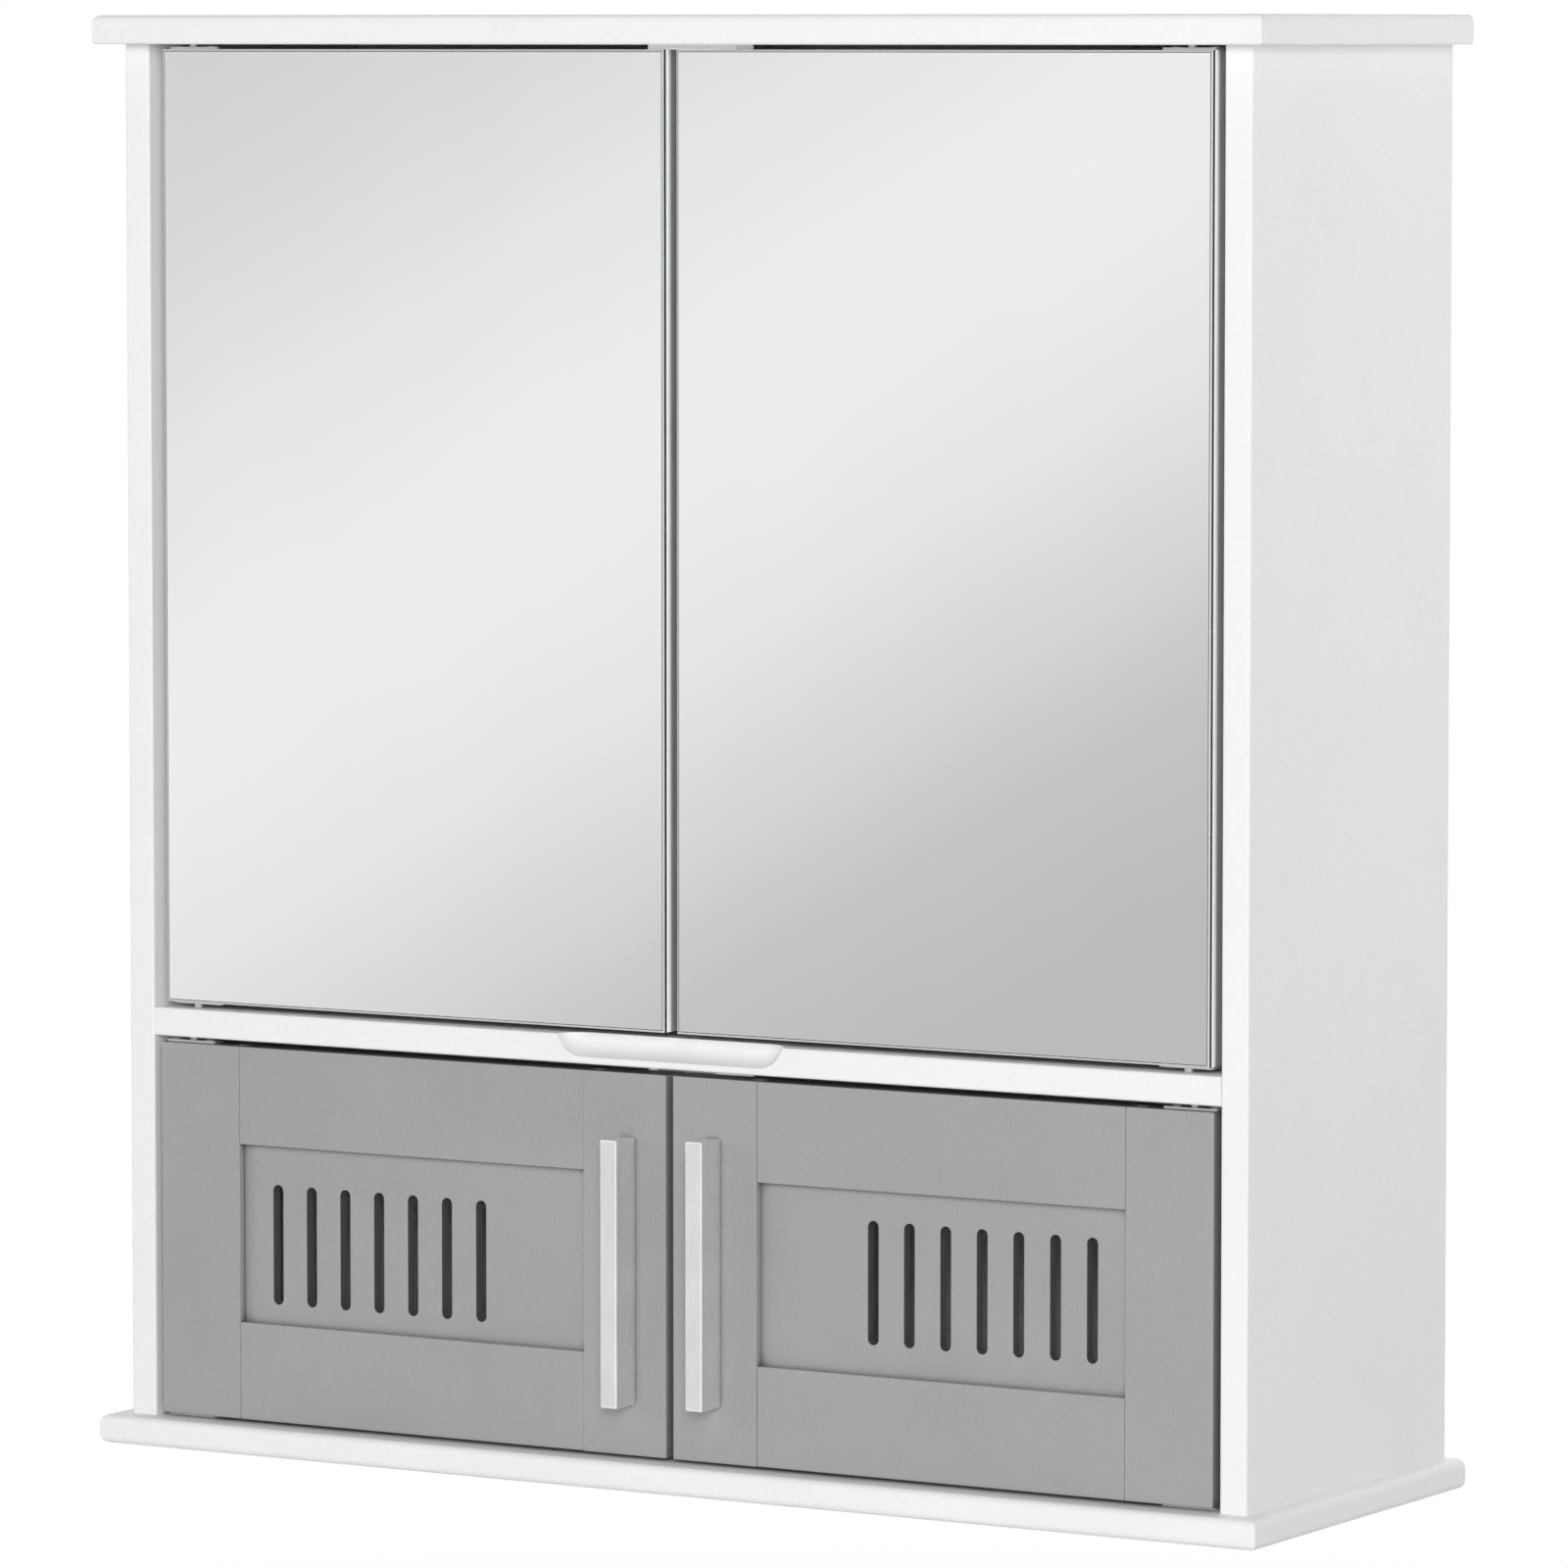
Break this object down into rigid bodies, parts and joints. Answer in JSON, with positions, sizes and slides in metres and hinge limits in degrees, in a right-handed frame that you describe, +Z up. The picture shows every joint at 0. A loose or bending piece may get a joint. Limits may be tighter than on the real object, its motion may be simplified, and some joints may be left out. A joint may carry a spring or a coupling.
{
  "type": "hanging wall cabinet",
  "caption": "Wall-hung cabinet: mirror doors above a fixed shelf with a finger scoop, slotted panel doors with bar handles below, all on pivot pins with magnetic catches.",
  "frame": {"origin": "on the wall plane behind the cabinet, midway between the two keyhole hangers and at their height", "axes": "+Z up along the height, +X to the viewer's right, +Y into the wall, so the doors face -Y"},
  "size_m": [0.55, 0.188, 0.6],
  "materials": {
    "white_board": "satin white paint on fibreboard",
    "inside_board": "matt white foil on fibreboard",
    "grey_board": "matt mid-grey paint on fibreboard",
    "mirror_glass": "silvered glass with a fine ground edge",
    "aluminium": "satin, fine brushed",
    "steel": "zinc plated",
    "nylon": "off-white nylon",
    "catch_plastic": "light grey moulded plastic"
  },
  "bodies": {
    "carcass": {"top_panel": "white_board", "bottom_panel": "white_board", "side_left": "white_board", "side_right": "white_board", "middle_shelf": "white_board", "back_panel": "inside_board", "hanging_rail": "inside_board", "loose_shelf": "inside_board", "shelf_pin_left_front": "steel", "shelf_pin_left_rear": "steel", "shelf_pin_right_front": "steel", "shelf_pin_right_rear": "steel", "hanger_left": "steel", "hanger_screw_left_left": "steel", "hanger_screw_left_right": "steel", "hanger_right": "steel", "hanger_screw_right_left": "steel", "hanger_screw_right_right": "steel", "bush_mirror_left_top": "nylon", "bush_mirror_left_base": "nylon", "bush_mirror_right_top": "nylon", "bush_mirror_right_base": "nylon", "bush_lower_left_top": "nylon", "bush_lower_left_base": "nylon", "bush_lower_right_top": "nylon", "bush_lower_right_base": "nylon", "catch_upper": "catch_plastic", "catch_lower": "catch_plastic"},
    "mirror_door_left": {"mirror_left_glass": "mirror_glass", "mirror_left_board": "white_board", "mirror_left_pivot_top": "steel", "mirror_left_pivot_base": "steel", "mirror_left_striker": "steel"},
    "mirror_door_right": {"mirror_right_glass": "mirror_glass", "mirror_right_board": "white_board", "mirror_right_pivot_top": "steel", "mirror_right_pivot_base": "steel", "mirror_right_striker": "steel"},
    "lower_door_left": {"lower_left_stile_hinge": "grey_board", "lower_left_stile_free": "grey_board", "lower_left_rail_top": "grey_board", "lower_left_rail_base": "grey_board", "lower_left_panel": "grey_board", "lower_left_handle": "aluminium", "lower_left_handle_screw_base": "steel", "lower_left_handle_screw_top": "steel", "lower_left_pivot_top": "steel", "lower_left_pivot_base": "steel", "lower_left_striker": "steel"},
    "lower_door_right": {"lower_right_stile_hinge": "grey_board", "lower_right_stile_free": "grey_board", "lower_right_rail_top": "grey_board", "lower_right_rail_base": "grey_board", "lower_right_panel": "grey_board", "lower_right_handle": "aluminium", "lower_right_handle_screw_base": "steel", "lower_right_handle_screw_top": "steel", "lower_right_pivot_top": "steel", "lower_right_pivot_base": "steel", "lower_right_striker": "steel"}
  },
  "joints": [
    {"name": "mirror_door_left_hinge", "type": "hinge", "parent": "carcass", "child": "mirror_door_left", "pos_m": [-0.2355, -0.166, -0.171], "axis": [0, 0, -1], "range_deg": [0, 110]},
    {"name": "mirror_door_right_hinge", "type": "hinge", "parent": "carcass", "child": "mirror_door_right", "pos_m": [0.2355, -0.166, -0.171], "axis": [0, 0, 1], "range_deg": [0, 110]},
    {"name": "lower_door_left_hinge", "type": "hinge", "parent": "carcass", "child": "lower_door_left", "pos_m": [-0.23825, -0.1655, -0.466], "axis": [0, 0, -1], "range_deg": [0, 110]},
    {"name": "lower_door_right_hinge", "type": "hinge", "parent": "carcass", "child": "lower_door_right", "pos_m": [0.23825, -0.1655, -0.466], "axis": [0, 0, 1], "range_deg": [0, 110]}
  ]
}
